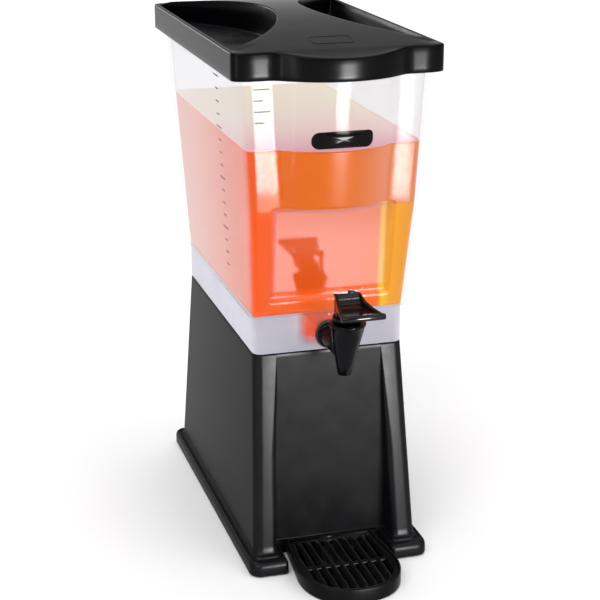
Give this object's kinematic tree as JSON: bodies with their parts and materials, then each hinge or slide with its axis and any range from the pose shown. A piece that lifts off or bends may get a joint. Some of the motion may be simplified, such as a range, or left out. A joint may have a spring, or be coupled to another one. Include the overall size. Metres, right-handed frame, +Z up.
{
  "type": "fountain soda dispenser",
  "caption": "Slim countertop cold drink dispenser: clear tank on a black pedestal, lever tap, lift-off lid with finger pockets and a slide-out drip tray.",
  "frame": {"origin": "on the counter, under the middle of the whole footprint with the drip tray in place", "axes": "+Z up; the tap and the drip tray face -Y; +X is to the right of a person who looks at the front"},
  "size_m": [0.2168, 0.4746, 0.5635],
  "materials": {
    "black_plastic": "satin-gloss moulded black",
    "clear_tank": "clear, faintly frosted moulding",
    "gloss_black": "polished black",
    "black_rubber": "matt",
    "silicone": "milky, soft",
    "stainless": "fine drawn wire"
  },
  "bodies": {
    "base_body": {"base": "black_plastic", "foot_front_left": "black_rubber", "foot_front_right": "black_rubber", "foot_back_left": "black_rubber", "foot_back_right": "black_rubber"},
    "tank_body": {"tank": "clear_tank", "front_badge": "gloss_black", "faucet_body": "black_plastic", "faucet_bonnet": "black_plastic", "lever_pin": "stainless", "outer_washer": "black_rubber", "inner_washer": "silicone", "shank_nut": "gloss_black", "closing_spring": "stainless"},
    "lid_body": {"lid": "black_plastic"},
    "lever_body": {"faucet_lever": "gloss_black"},
    "stem_body": {"valve_stem": "gloss_black", "seat_cup": "silicone"},
    "tray_body": {"drip_tray": "black_plastic"},
    "grate_body": {"drip_grate": "black_plastic"}
  },
  "joints": [
    {"name": "tank_lift", "type": "slide", "parent": "base_body", "child": "tank_body", "axis": [0, 0, 1], "range_m": [0, 0.1]},
    {"name": "lid_lift", "type": "slide", "parent": "tank_body", "child": "lid_body", "axis": [0, 0, 1], "range_m": [0, 0.1]},
    {"name": "lever_hinge", "type": "hinge", "parent": "tank_body", "child": "lever_body", "pos_m": [0, -0.1772, 0.2909], "axis": [1, 0, 0], "range_deg": [0, 20], "stiffness_Nm_per_rad": 0.4, "springref_deg": -11.46},
    {"name": "stem_lift", "type": "slide", "parent": "tank_body", "child": "stem_body", "axis": [0, 0, 1], "range_m": [0, 0.0036], "deforming": ["closing_spring"]},
    {"name": "tray_slide", "type": "slide", "parent": "base_body", "child": "tray_body", "axis": [0, -1, 0], "range_m": [0, 0.12]},
    {"name": "grate_lift", "type": "slide", "parent": "tray_body", "child": "grate_body", "axis": [0, 0, 1], "range_m": [0, 0.04]}
  ],
  "couplings": [
    {"joint": "stem_lift", "follows": "lever_hinge", "m_per_rad": 0.01}
  ]
}
